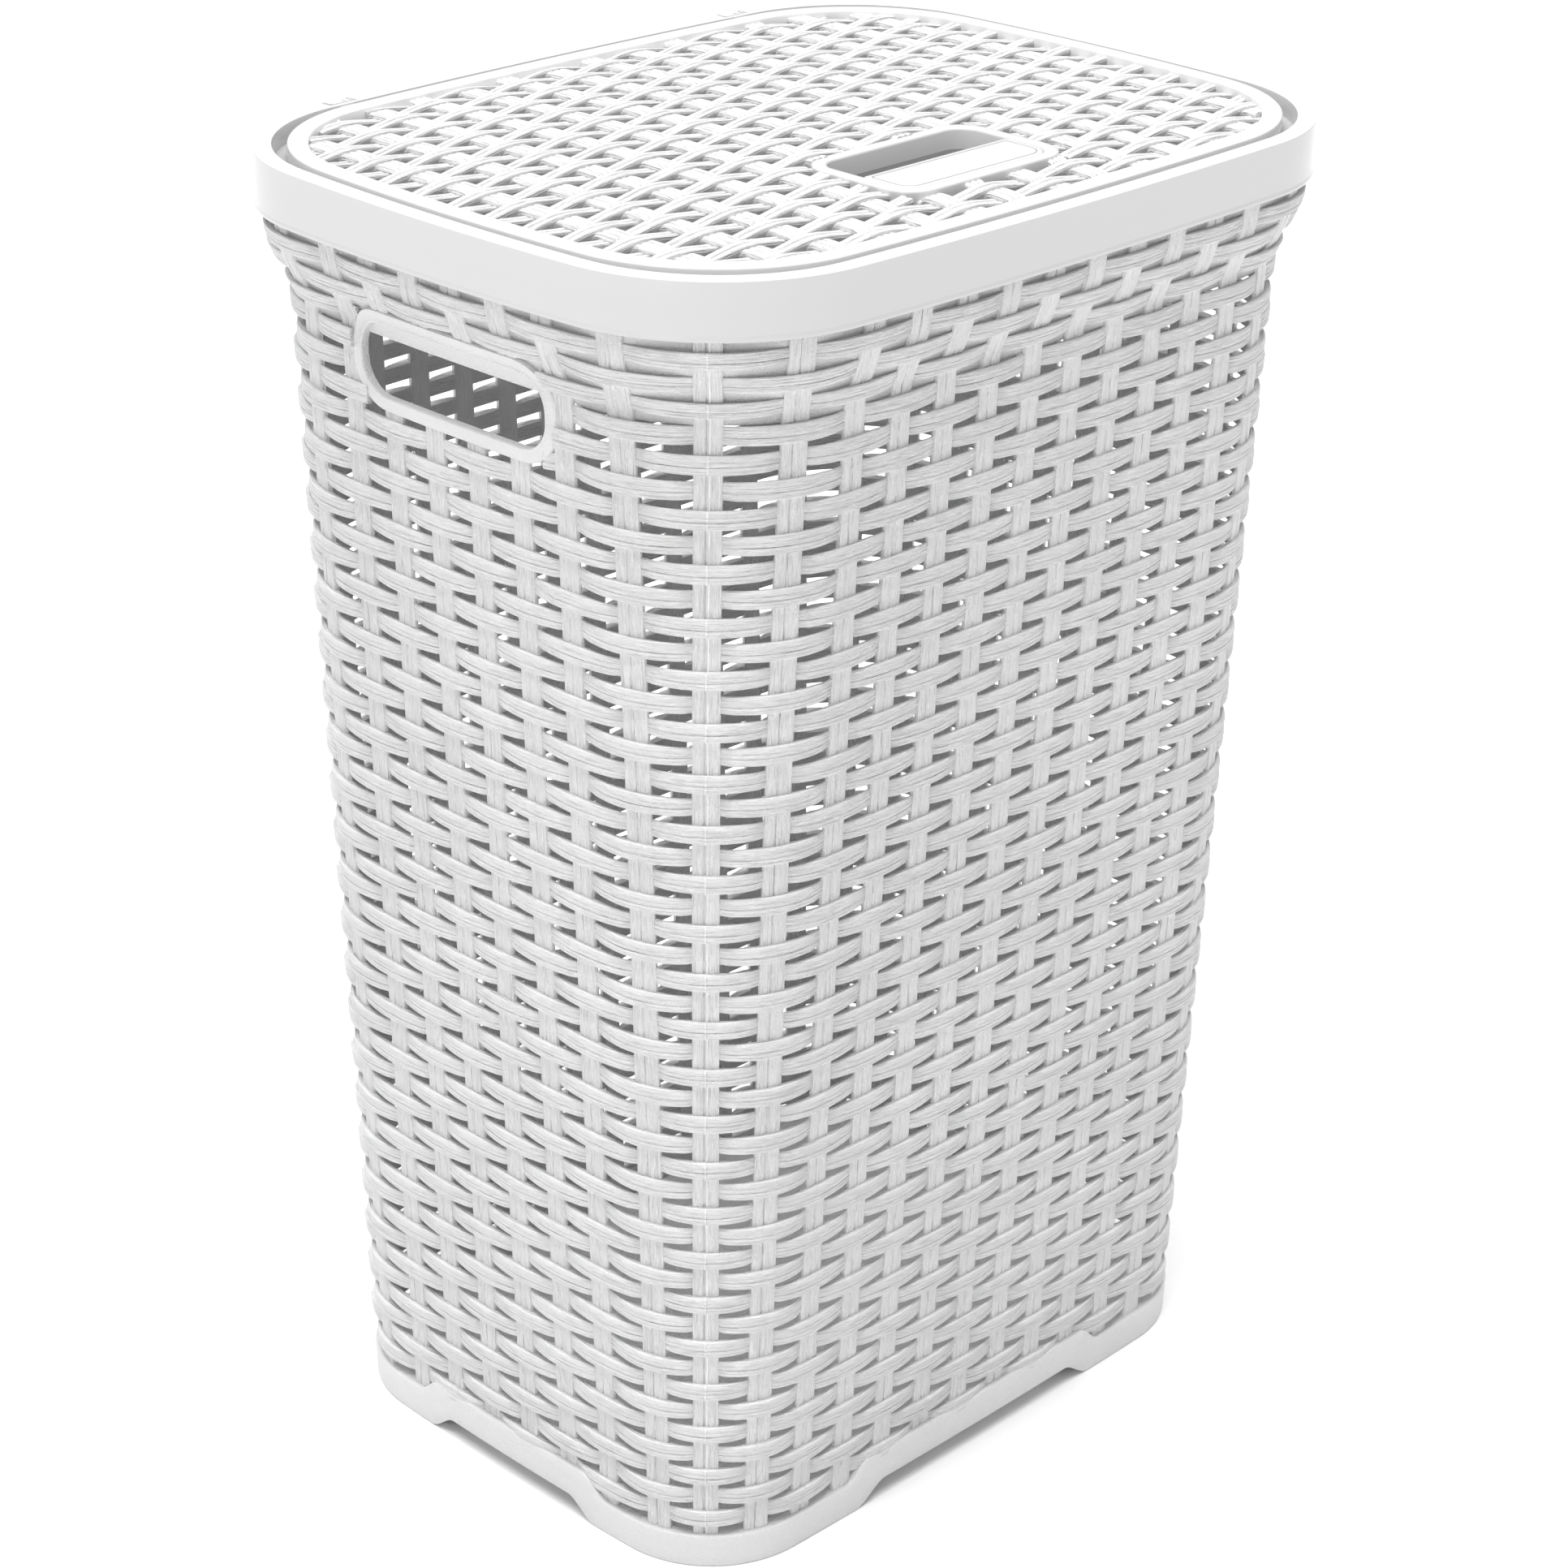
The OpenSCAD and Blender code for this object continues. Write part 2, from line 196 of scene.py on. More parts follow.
def new_mesh(name, points, groups, body_name, slot, replaced=(), sharp=35.0, fields=None):
    """Mesh object from points in millimetres and groups of equally long faces."""
    mesh = bpy.data.meshes.new(name)
    points = np.asarray(points, float).reshape(-1, 3)
    loops, starts, total = [], [], 0
    for group in groups:
        if isinstance(group, list):
            for face in group:
                loops.append(np.asarray(face, np.int32))
                starts.append(np.array([total], np.int32))
                total += len(face)
        else:
            count, sides = group.shape
            loops.append(group.astype(np.int32).ravel())
            starts.append(total + sides * np.arange(count, dtype=np.int32))
            total += count * sides
    loops, starts = np.concatenate(loops), np.concatenate(starts)
    mesh.vertices.add(len(points))
    mesh.vertices.foreach_set("co", (points * MM).astype(np.float32).ravel())
    mesh.loops.add(len(loops))
    mesh.loops.foreach_set("vertex_index", loops)
    mesh.polygons.add(len(starts))
    mesh.polygons.foreach_set("loop_start", starts)
    mesh.update(calc_edges=True)
    mesh.validate()
    for key, values in (fields or {}).items():
        layer = mesh.attributes.new(key, "FLOAT", "POINT")
        layer.data.foreach_set("value", np.asarray(values, np.float32).ravel())
    mesh.polygons.foreach_set("use_smooth", np.ones(len(mesh.polygons), bool))
    mesh.set_sharp_from_angle(angle=math.radians(sharp))
    obj = bpy.data.objects.new(name, mesh)
    bpy.context.scene.collection.objects.link(obj)
    mesh.materials.append(MATERIALS[slot])
    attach(obj, body_name)
    if replaced:
        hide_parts(*replaced)
    return obj


BOX_QUADS = [[0, 2, 3, 1], [4, 5, 7, 6], [0, 1, 5, 4], [2, 6, 7, 3], [0, 4, 6, 2], [1, 3, 7, 5]]


def box_corners(centre, size):
    """Corners of a box, in the order that BOX_QUADS joins them."""
    c, h = np.array(centre, float), np.array(size, float) / 2
    return [c + h * (sx, sy, sz) for sz in (-1, 1) for sy in (-1, 1) for sx in (-1, 1)]


class Builder:
    """Collects points and faces of several runs into one mesh."""

    def __init__(self):
        self.points, self.groups, self.fields, self.count = [], [], {}, 0

    def add(self, points, groups, **fields):
        points = np.asarray(points, float).reshape(-1, 3)
        for group in groups:
            if isinstance(group, list):
                self.groups.append([[v + self.count for v in face] for face in group])
            else:
                self.groups.append(group + self.count)
        for key, values in fields.items():
            self.fields.setdefault(key, []).append(np.broadcast_to(values, (len(points),)))
        self.points.append(points)
        self.count += len(points)

    def build(self, name, body_name, slot, replaced=(), sharp=35.0):
        fields = {key: np.concatenate(values) for key, values in self.fields.items()}
        points = np.concatenate(self.points)
        return new_mesh(name, points, self.groups, body_name, slot, replaced, sharp, fields)


# ---- materials -----------------------------------------------------------------------------


def moulded(name, colour, rough, specular, grain, grain_scale, speck):
    """White moulded plastic: faint tone drift, fine grain and streaks that follow a strand."""
    mat = bpy.data.materials.new(name)
    mat.use_nodes = True
    nodes, links = mat.node_tree.nodes, mat.node_tree.links
    shader = nodes["Principled BSDF"]
    shader.inputs["Specular IOR Level"].default_value = specular
    shader.inputs["IOR"].default_value = 1.49
    place = nodes.new("ShaderNodeTexCoord")

    def noise(vector, scale, detail):
        node = nodes.new("ShaderNodeTexNoise")
        node.inputs["Scale"].default_value = scale
        node.inputs["Detail"].default_value = detail
        links.new(vector, node.inputs["Vector"])
        return node.outputs["Fac"]

    def spread(value, low, high):
        node = nodes.new("ShaderNodeMapRange")
        node.inputs["To Min"].default_value = low
        node.inputs["To Max"].default_value = high
        node.inputs["From Min"].default_value = 0.3
        node.inputs["From Max"].default_value = 0.7
        links.new(value, node.inputs["Value"])
        return node.outputs["Result"]

    def attribute(name):
        node = nodes.new("ShaderNodeAttribute")
        node.attribute_name = name
        return node.outputs["Fac"]

    def calculate(operation, *values):
        node = nodes.new("ShaderNodeMath")
        node.operation = operation
        for socket, value in zip(node.inputs, values):
            if isinstance(value, float):
                socket.default_value = value
            else:
                links.new(value, socket)
        return node.outputs["Value"]

    drift = noise(place.outputs["Object"], 9.0, 2.0)
    fine = noise(place.outputs["Object"], grain_scale, 3.0)
    fibre = nodes.new("ShaderNodeCombineXYZ")
    links.new(attribute("along"), fibre.inputs["X"])
    links.new(attribute("across"), fibre.inputs["Y"])
    streak = noise(fibre.outputs["Vector"], 1.0, 4.0)

    tone = nodes.new("ShaderNodeMix")
    tone.data_type = "RGBA"
    dark = tuple(c * (1.0 - speck) for c in colour)
    tone.inputs["A"].default_value = (*dark, 1.0)
    tone.inputs["B"].default_value = (*colour, 1.0)
    half = calculate("MULTIPLY", spread(drift, 0.0, 1.0), 0.5)
    mixed = calculate("MULTIPLY_ADD", spread(streak, 0.0, 1.0), 0.5, half)
    links.new(mixed, tone.inputs["Factor"])
    scaled = nodes.new("ShaderNodeVectorMath")
    scaled.operation = "SCALE"
    links.new(tone.outputs["Result"], scaled.inputs[0])
    # The tone attribute scales the colour: below 0 it is painted shade, above 0 painted light and
    # painted highlights. A mesh without the attribute gives 0, which leaves its colour as it is.
    links.new(calculate("ADD", attribute("tone"), 1.0), scaled.inputs["Scale"])
    links.new(scaled.outputs["Vector"], shader.inputs["Base Color"])
    links.new(spread(fine, rough - 0.05, rough + 0.06), shader.inputs["Roughness"])

    bump = nodes.new("ShaderNodeBump")
    bump.inputs["Strength"].default_value = grain
    bump.inputs["Distance"].default_value = 0.0018
    links.new(calculate("MULTIPLY_ADD", fine, 0.35, streak), bump.inputs["Height"])
    links.new(bump.outputs["Normal"], shader.inputs["Normal"])
    return mat


MATERIALS = {
    "basket_white": moulded(
        "matte_woven_plastic", (0.92, 0.92, 0.92), 0.40, 0.5, 1.0, 900.0, 0.13
    ),
    "collar_white": moulded(
        "gloss_plastic", (0.60, 0.60, 0.60), 0.18, 0.5, 0.015, 1400.0, 0.012
    ),
    "hinge_white": moulded(
        "hinge_plastic", (0.66, 0.66, 0.66), 0.42, 0.45, 0.2, 900.0, 0.02
    ),
}

# ---- woven walls ---------------------------------------------------------------------------

# Stations of one bay, as shares of the way from over a stave to under the next one.
BAY = np.array([0, 0.12, 0.24, 0.36, 0.47, 0.57, 0.65, 0.715, 0.76, 0.795, 0.87, 1.0])
# Outer side of a strand, as (offset, height): an upper and a lower reed with a groove between.
REEDS = np.array([
    (-0.95, -4.0), (-0.32, -3.88), (-0.02, -3.45), (0.06, -2.65), (-0.08, -2.4), (0.06, -2.15),
    (-0.02, -1.35), (-0.24, -0.98), (-0.85, -0.74), (-0.12, -0.5), (0.1, 0.0), (0.12, 1.05),
    (-0.06, 1.3), (0.1, 1.55), (0.04, 2.9), (-0.14, 3.7), (-0.75, 4.0),
])  # fmt: skip
STAVE_RIB = np.array([
    (-5.25, -4.45), (-5.25, -2.9), (-5.1, -2.5), (-4.7, -2.28), (-2.9, -2.2), (-1.35, -2.26),
    (-1.1, -2.5), (-0.65, -3.35), (-0.2, -2.5), (0.1, -2.26), (2.4, -2.18), (4.6, -2.28),
    (5.1, -2.5), (5.25, -2.9), (5.25, -4.45),
])  # fmt: skip
INSIDE_SHADE = -0.14  # painted shade on the inner face, which sits in its own shade
STAVE_TONE = -0.05
# painted highlight along the moulding line on a corner stave
SEAM_HIGHLIGHT = 0.13
TOP_FACE_LIGHT = 0.4  # painted light: the smooth faces that look up are made the whitest, as if lit from above
# painted light: the grip's frame and pad are made whiter, as faces lit from above
GRIP_LIGHT = 0.2
# painted shade in the grip's recessed cup
CUP_SHADE = -0.3
# painted shade on the recessed backing behind the flared rows
NECK_SHADE = -0.22
FRAME_SHADE = -0.2  # painted shade on the recessed frames of the hand holes; the base band is darkened by the same amount
LEDGE_SHADE = -0.55  # painted shade: it lies in the gap under the lid
CORNER_WIDER = 1.12  # a corner stave's width, against one on a flat side
SEAM = ((-0.4, 0.0), (-0.3, 0.34), (0.3, 0.34), (0.4, 0.0))  # moulding line on a corner


def row_height(j):
    return ROW_FIRST + ROW_PITCH * np.asarray(j, float)


def bay_stations(first, last, parity):
    """Stave coordinates and dive shares from stave first to stave last, for rows of a parity."""
    q, share = [], []
    for stave in range(first, last):
        over = (stave + parity) % 2 == 0
        steps = BAY if over else 1.0 - BAY[::-1]
        dive = BAY if over else BAY[::-1]
        q.extend(stave + steps[:-1])
        share.extend(dive[:-1])
    q.append(float(last))
    share.append(0.0 if (last + parity) % 2 == 0 else 1.0)
    return np.array(q), np.array(share)


def with_seam(q, share, seam):
    """Adds the stations of the moulding line at stave seam; returns the extra height too."""
    bump = np.zeros(len(q))
    if seam is None:
        return q, share, bump
    k = np.argmin(np.abs(q - seam))
    if share[k] > 0.5:
        return q, share, bump
    extra, rise = np.array(SEAM).T
    extra = seam + extra / PITCH
    q = np.concatenate([q[:k], extra, q[k + 1 :]])
    share = np.concatenate([share[:k], np.zeros(len(extra)), share[k + 1 :]])
    return q, share, np.concatenate([bump[:k], rise, bump[k + 1 :]])


def strand(build, j, q, share, bump, squeeze=None):
    """One strand of row j through stations q."""
    z0 = float(row_height(j))
    narrow = smooth(share, 0.66, 0.80)
    off = -DIVE * (0.5 - 0.5 * np.cos(math.pi * share**1.25)) - 0.55 * narrow + bump
    ring_off = np.concatenate([REEDS[:, 0], [BACK_PLANE, BACK_PLANE]])
    half = ROW_HALF if z0 < FLARE_START else FLARE_ROW_HALF
    ring_z = np.concatenate([REEDS[:, 1], [ROW_HALF - 0.95, 0.2 - ROW_HALF]]) * (half / ROW_HALF)
    back = np.concatenate([np.zeros(len(REEDS)), [1, 1]]) > 0.5
    offs = np.where(back[None, :], BACK_PLANE, off[:, None] + ring_off[None, :])
    taper = 1.0 - 0.05 * narrow
    zs = z0 + ring_z[None, :] * np.where(back[None, :], 1.0, taper[:, None])
    if squeeze is not None:
        zs = squeeze(q, zs)
    shape = body(zs)
    s = shape.path(np.broadcast_to(q[:, None], zs.shape))
    x, y = shape.at(s, offs)
    along = np.broadcast_to(q[:, None] * 1.7 + 13.1 * j, zs.shape)
    across = np.broadcast_to(ring_z[None, :] * 2.3, zs.shape)
    # painted shade on the inner faces, painted highlight on the moulding line
    tone = np.where(back[None, :], INSIDE_SHADE, SEAM_HIGHLIGHT * (bump[:, None] > 0.1))
    points = np.stack([x, y, zs], -1)
    faces = strip_faces(len(q), len(ring_z), caps=True)
    build.add(points, faces, along=along.ravel(), across=across.ravel(), tone=tone.ravel())


def stave(build, index, heights, seam=False, wider=1.0):
    """One upright rib at stave number index."""
    rib = STAVE_RIB * (wider, 1.0)
    if seam:
        line = [(s + 0.7, -2.22 + r) for s, r in SEAM]
        rib = np.array([p for p in rib if p[0] < 0.2] + line + [p for p in rib if p[0] > 1.2])
    z = np.asarray(heights, float)[:, None] + 0.0 * rib[None, :, 0]
    shape = body(z)
    s = shape.stave(np.full(z.shape, index)) + rib[None, :, 0]
    x, y = shape.at(s, np.broadcast_to(rib[None, :, 1], z.shape))
    along = np.broadcast_to(z * 0.06 + 7.7 * index, z.shape)
    across = np.broadcast_to(rib[None, :, 0] * 1.6, z.shape)
    # painted shade on the inner face, painted highlight on the moulding line
    tone = np.where(rib[:, 1] < -4.0, INSIDE_SHADE, STAVE_TONE)
    tone = np.where(rib[:, 1] > -2.0, SEAM_HIGHLIGHT, tone)
    tone = np.broadcast_to(tone[None, :], z.shape)
    faces = strip_faces(len(z), len(rib), caps=True)
    points = np.stack([x, y, z], -1)
    build.add(points, faces, along=along.ravel(), across=across.ravel(), tone=tone.ravel())


HAND_Z = float((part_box("hand_frame_left")[0].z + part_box("hand_frame_left")[1].z) / 2 / MM) + 0.8
HAND_HALF = (55.0, 15.9)
HAND_R = 14.2
BEZEL = 6.2
STRAIGHT = [20, 100, 200, 300, 400, 480, 520, FLARE_START]
FLARED = [FLARE_START + d for d in (4, 8, 12, 16, 20, 24, 28, 32, 34.5)]


def band_top(x, long_side):
    """Height of the smooth band's upper edge at x from the middle of a side."""
    start, end = (73.0, 87.0) if long_side else (49.0, 64.0)
    return BAND_H + BAND_RISE * (1.0 - smooth(np.abs(x), start, end))


def woven_wall(name, first, last, node, seam=None, hand=False):
    """Strands and staves of one wall, from stave first to stave last."""
    build = Builder()
    middle = (first + last) / 2.0
    for j in range(ROWS):
        z0 = float(row_height(j))
        q, share = bay_stations(first, last, (j + PARITY) % 2)
        q, share, bump = with_seam(q, share, seam)
        inner = HAND_HALF[1] + BEZEL - 0.6
        near = hand and abs(z0 - HAND_Z) < inner + ROW_HALF
        if near and abs(z0 - HAND_Z) > inner - 1.0:
            limit = HAND_Z + math.copysign(inner, z0 - HAND_Z)

            def squeeze(qs, zs, limit=limit, z0=z0):
                far = z0 + math.copysign(ROW_HALF, z0 - limit)
                at_hole = np.abs(qs - middle)[:, None] * PITCH < HAND_HALF[0] - 2.0
                return np.where(at_hole, far + (zs - far) * abs(limit - far) / (2 * ROW_HALF), zs)

            strand(build, j, q, share, bump, squeeze)
        elif near:
            bend = HAND_R + BEZEL
            high = max(abs(z0 - HAND_Z) - HAND_HALF[1] - BEZEL + bend, 0.0)
            bend_in = bend - math.sqrt(max(bend**2 - high**2, 4.0))
            reach = (HAND_HALF[0] + BEZEL - 0.6 - bend_in) / PITCH
            for keep, end in ((q <= middle - reach, -1), (q >= middle + reach, 1)):
                edge = middle + end * reach
                edge_share = np.interp(edge, q, share)
                at = keep.sum() if end < 0 else 0
                runs = zip((q, share, bump), (edge, edge_share, 0.0))
                strand(build, j, *(np.insert(run[keep], at, value) for run, value in runs))
        else:
            strand(build, j, q, share, bump)
    corner = "corner" in node
    # A corner leaves its two edge staves to the flat walls beside it.
    for index in range(first + 1, last) if corner else range(first, last + 1):
        x = (index - middle) * PITCH
        if corner:
            foot = BAND_H - 2.0
        else:
            foot = float(band_top(x, node.startswith(("front", "back")))) - 2.0
        tall = [foot] + [z for z in STRAIGHT if z > foot + 5] + FLARED
        if hand and abs(x) < HAND_HALF[0]:
            low = HAND_Z - HAND_HALF[1] - BEZEL + 0.8
            high = HAND_Z + HAND_HALF[1] + BEZEL - 0.8
            stave(build, index, [z for z in tall if z < low - 5] + [low])
            stave(build, index, [high] + [z for z in tall if z > high + 1])
        else:
            wider = CORNER_WIDER if corner else 1.0
            stave(build, index, tall, seam=(index == seam), wider=wider)
    return build.build(name, BASKET, "basket_white", (node,))


# The front's staves are numbered -5..4, the right side's 8..13, the back's 17..26, and so on.
woven_wall("front_weave", -5, 4, "front_wall")
woven_wall("back_weave", 17, 26, "back_wall")

woven_wall("right_weave", 8, 13, "right_wall", hand=True)
woven_wall("left_weave", 30, 35, "left_wall", hand=True)
for corner, first in (
    ("front_right", 4),
    ("back_right", 13),
    ("back_left", 26),
    ("front_left", 35),
):
    woven_wall(f"{corner}_weave", first, first + 4, f"corner_{corner}", seam=first + 2)


# ---- closed runs round the basket ----------------------------------------------------------


def around(outline):
    """Arc lengths round an outline, denser in the corners."""
    side_b = np.linspace(0, outline.len_b, 14, endpoint=False)
    bend = np.linspace(outline.len_b, outline.len_b + outline.len_c, 26, endpoint=False)
    side_a = np.linspace(outline.quarter - outline.len_a, outline.quarter, 10, endpoint=False)
    one = np.concatenate([side_b, bend, side_a])
    back = (outline.quarter * 2 - one[1:])[::-1]
    half = np.concatenate([one, [outline.quarter], back])
    return np.concatenate([half, half + 2 * outline.quarter])


def loop_run(outline, profile):
    """Points and faces of a closed (offset, height) profile swept round an outline."""
    s = around(outline)
    profile = np.asarray(profile, float)
    x, y = outline.at(s[:, None] + 0.0 * profile[None, :, 0], profile[None, :, 0])
    z = np.broadcast_to(profile[None, :, 1], x.shape)
    faces = strip_faces(len(s), len(profile), closed_path=True)
    return np.stack([x, y, z], -1), faces


def cut_boxes(obj, boxes):
    """Cuts boxes, as (centre, size) in millimetres, out of a piece."""
    cutter = Builder()
    for centre, size in boxes:
        cutter.add(box_corners(centre, size), [BOX_QUADS])
    tool = cutter.build("cutter", BASKET, "hinge_white")
    modifier = obj.modifiers.new("cut", "BOOLEAN")
    modifier.operation, modifier.solver, modifier.object = "DIFFERENCE", "EXACT", tool
    bpy.context.view_layer.update()
    graph = bpy.context.evaluated_depsgraph_get()
    mesh = bpy.data.meshes.new_from_object(obj.evaluated_get(graph))
    obj.modifiers.clear()
    obj.data = mesh
    bpy.data.objects.remove(tool)


def collar():
    top = RIM_TOP
    profile = [
        (-2.2, 576.4), (-0.9, 576.1), (0.15, 576.3), (0.4, 576.8), (0.4, 577.6), (0.1, 578.1),
        (0.0, 579.0), (0.0, 588.0), (0.0, top - 0.7), (-0.08, top - 0.35), (-0.3, top - 0.1),
        (-0.7, top), (-1.4, top), (-7.9, top), (-8.2, top - 0.1), (-8.4, top - 0.4),
        (-8.4, top - 8.3), (-15.9, top - 8.3), (-15.9, top - 16), (-13.7, top - 16),
        (-13.7, top - 10.5), (-6.6, top - 10.5), (-6.2, top - 2.2), (-2.2, top - 2.2),
    ]  # fmt: skip
    build = Builder()
    points, faces = loop_run(COLLAR, profile)
    off, z = np.array(profile).T
    # painted shade on the ledge in the gap under the lid, painted light on the top faces
    tone = np.where(off < -8.5, LEDGE_SHADE, np.where(z > top - 0.3, TOP_FACE_LIGHT, 0.0))
    tone = np.broadcast_to(tone, points.shape[:2])
    build.add(points, faces, along=0.0, across=0.0, tone=tone.ravel())
    ring = build.build("collar_ring", BASKET, "collar_white", ("collar", "lid_ledge"), sharp=40.0)
    boxes = []
    for side in ("left", "right"):
        low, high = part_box(f"hinge_cradle_{side}")
        middle = (low + high) / 2 / MM
        size = ((high.x - low.x) / MM + 0.2, 7.4, 20.0)
        boxes.append(((middle.x, middle.y, RIM_TOP - 2.0), size))
    cut_boxes(ring, boxes)
    return ring


def neck():
    """Plain backing behind the flared rows, up inside the collar."""
    heights = [538.0, 541.0, 545.0, 549.0, 553.0, 557.0, 561.0, 566.0, 571.0, 575.5, RIM_TOP - 3.0]
    outer, inner = -4.3, -6.2
    build = Builder()
    rings = []
    sides = [(z, outer) for z in heights] + [(z, inner) for z in heights[::-1]]
    base = around(body(540.0))
    for z, off in sides:
        shape = body(z)
        scale = shape.quarter / body(540.0).quarter
        x, y = shape.at(base * scale, off)
        rings.append(np.stack([x, y, np.full(len(x), z)], -1))
    points = np.stack(rings, 1)
    faces = strip_faces(len(base), len(sides), closed_path=True)
    # painted shade on the recessed backing
    build.add(points, faces, along=points[..., 2].ravel() * 0.05, across=0.0, tone=NECK_SHADE)
    return build.build("flared_neck", BASKET, "basket_white", ("neck",))


def base_band():
    """Smooth band at the floor: low at the corners, raised between them."""
    shape = body(8.0)
    s = around(shape)
    fine = []
    for middle, half in ((0, 100), (1, 75), (2, 100), (3, 75)):
        fine.append(middle * shape.quarter + np.linspace(-half, half, 121))
    loop = 4 * shape.quarter
    s = np.unique(np.round(np.mod(np.concatenate([s] + fine), loop), 3))
    part = np.round(s / shape.quarter)
    x = s - part * shape.quarter
    long_side = np.mod(part, 2) < 0.5
    top = np.where(long_side, band_top(x, True), band_top(x, False))
    low_long = 1.0 - smooth(np.abs(x), 62.0, 81.0)
    low_short = 1.0 - smooth(np.abs(x), 39.0, 56.0)
    low = BAND_RISE * np.where(long_side, low_long, low_short)
    # (offset, share of the way up, extra height)
    profile = [
        (-5.4, 0, 0.6), (-5.0, 0, 0.0), (-0.9, 0, 0.0), (-0.25, 0, 0.3), (0.0, 0, 0.9),
        (0.0, 0.35, 0), (0.0, 0.7, 0), (0.0, 1, -1.0), (-0.2, 1, -0.4), (-0.7, 1, -0.05),
        (-1.4, 1, 0.0), (-5.4, 1, 0.0),
    ]  # fmt: skip
    points = []
    for off, share, lift in profile:
        z = low + (top - low) * share + lift
        px, py = body(z).at(s * body(z).quarter / shape.quarter, off + 0.0 * z)
        points.append(np.stack([px, py, z], -1))
    build = Builder()
    points = np.stack(points, 1)
    faces = strip_faces(len(s), len(profile), closed_path=True)
    # darkened by the same amount as the painted shade of the hand frames
    build.add(points, faces, along=0.0, across=0.0, tone=FRAME_SHADE)
    return build.build("smooth_band", BASKET, "basket_white", ("base_band",), sharp=50.0)


collar()
neck()
base_band()

# ---- hand holes ----------------------------------------------------------------------------


def rounded_path(half_w, half_h, r, corner=12, side=10):
    """Points of a rounded rectangle, counterclockwise, about its middle."""
    arcs = []
    for k, (sx, sy) in enumerate(((1, 1), (-1, 1), (-1, -1), (1, -1))):
        angles = np.linspace(0, math.pi / 2, corner) + k * math.pi / 2
        centre = np.array([sx * (half_w - r), sy * (half_h - r)])
        arcs.append(centre + r * np.stack([np.cos(angles), np.sin(angles)], -1))
    t = np.linspace(0, 1, side + 1)[1:-1, None]
    points = []
    for arc, following in zip(arcs, arcs[1:] + arcs[:1]):
        points += [arc, arc[-1] * (1 - t) + following[0] * t]
    return np.concatenate(points)


def hand_frame(side):
    """Smooth frame round a hand hole, following the bowed and drafted wall."""
    # (how far out from the opening's edge, offset from the crest)
    profile = [
        (0.0, -4.9), (0.0, -2.0), (0.12, -1.4), (0.5, -1.05), (1.1, -1.2), (1.5, -1.5),
        (4.0, -1.5), (5.4, -1.5), (5.9, -1.65), (6.2, -2.1), (6.2, -4.9),
    ]  # fmt: skip
    middle = {"right": 1, "left": 3}[side]
    rings = []
    for out, off in profile:
        path = rounded_path(HAND_HALF[0] + out, HAND_HALF[1] + out, HAND_R + out)
        z = HAND_Z + path[:, 1]
        shape = body(z)
        x, y = shape.at(middle * shape.quarter + path[:, 0], off + 0.0 * z)
        rings.append(np.stack([x, y, z], -1))
    points = np.stack(rings, 1)
    build = Builder()
    faces = strip_faces(points.shape[0], len(profile), closed_path=True)
    # painted shade on the recessed frame
    build.add(points, faces, along=0.0, across=0.0, tone=FRAME_SHADE)
    build.build(f"{side}_hand_bezel", BASKET, "basket_white", (f"hand_frame_{side}",), sharp=50.0)


for side in ("left", "right"):
    hand_frame(side)

# ---- lid -----------------------------------------------------------------------------------

LID_EDGE = Outline(196.0, 150.1, 76.5, 2.6, 2.6)
LID_TOP = RIM_TOP + 0.6
FIELD_INSET = 8.4
STRIP_PITCH = 25.3
STRIPS = 7  # on half the lid
STRIP_HALF = 5.1
LID_ROW_PITCH = 10.84
LID_ROWS = 13  # either side of the middle row
LID_ROW_HALF = 3.3
DOME_EDGE = 599.0
DOME = 4.2
LID_DIVE = 2.6
LID_THICK = 4.6
GRIP_Y = 80.5
GRIP_HALF = (43.5, 25.5)
GRIP_R = 10.0
GRIP_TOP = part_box("grip_frame")[1].z / MM - 1.0


def dome(x, y):
    """Height of the lid's woven crest."""
    u = np.clip(np.abs(x) / 187.3, 0, 1) ** 2
    v = np.clip(np.abs(y) / 142.5, 0, 1) ** 2
    return DOME_EDGE + DOME * (1 - u) * (1 - v)


def field_half(c, along_x):
    """Half length of the woven field at distance c from the middle line."""
    o, inset = LID_EDGE, FIELD_INSET
    r = o.r - inset
    half, other, centre, mid = (
        (o.a - inset, o.b - inset, o.cx, o.cy) if along_x else (o.b - inset, o.a - inset, o.cy, o.cx)
    )
    c = min(abs(c), other - 0.6)
    if c <= mid:
        return half
    return centre + math.sqrt(max(r * r - (c - mid) ** 2, 1.0))


def lid_border():
    top = LID_TOP
    profile = [
        (-2.0, top - 8.6), (-0.5, top - 8.6), (0.0, top - 8.0), (0.0, top - 1.0),
        (-0.1, top - 0.5), (-0.5, top - 0.15), (-1.2, top), (-4.0, top), (-6.4, top),
        (-7.9, top), (-8.5, top - 0.15), (-8.8, top - 0.6),
        (-8.9, top - 5.6), (-7.0, top - 5.6), (-2.0, top - 4.2),
    ]  # fmt: skip
    build = Builder()
    points, faces = loop_run(LID_EDGE, profile)
    # painted light: the lid rim is made whiter, as faces lit from above
    build.add(points, faces, along=0.0, across=0.0, tone=TOP_FACE_LIGHT)
    return build.build("lid_rim", LID, "collar_white", ("lid_border",), sharp=45.0)


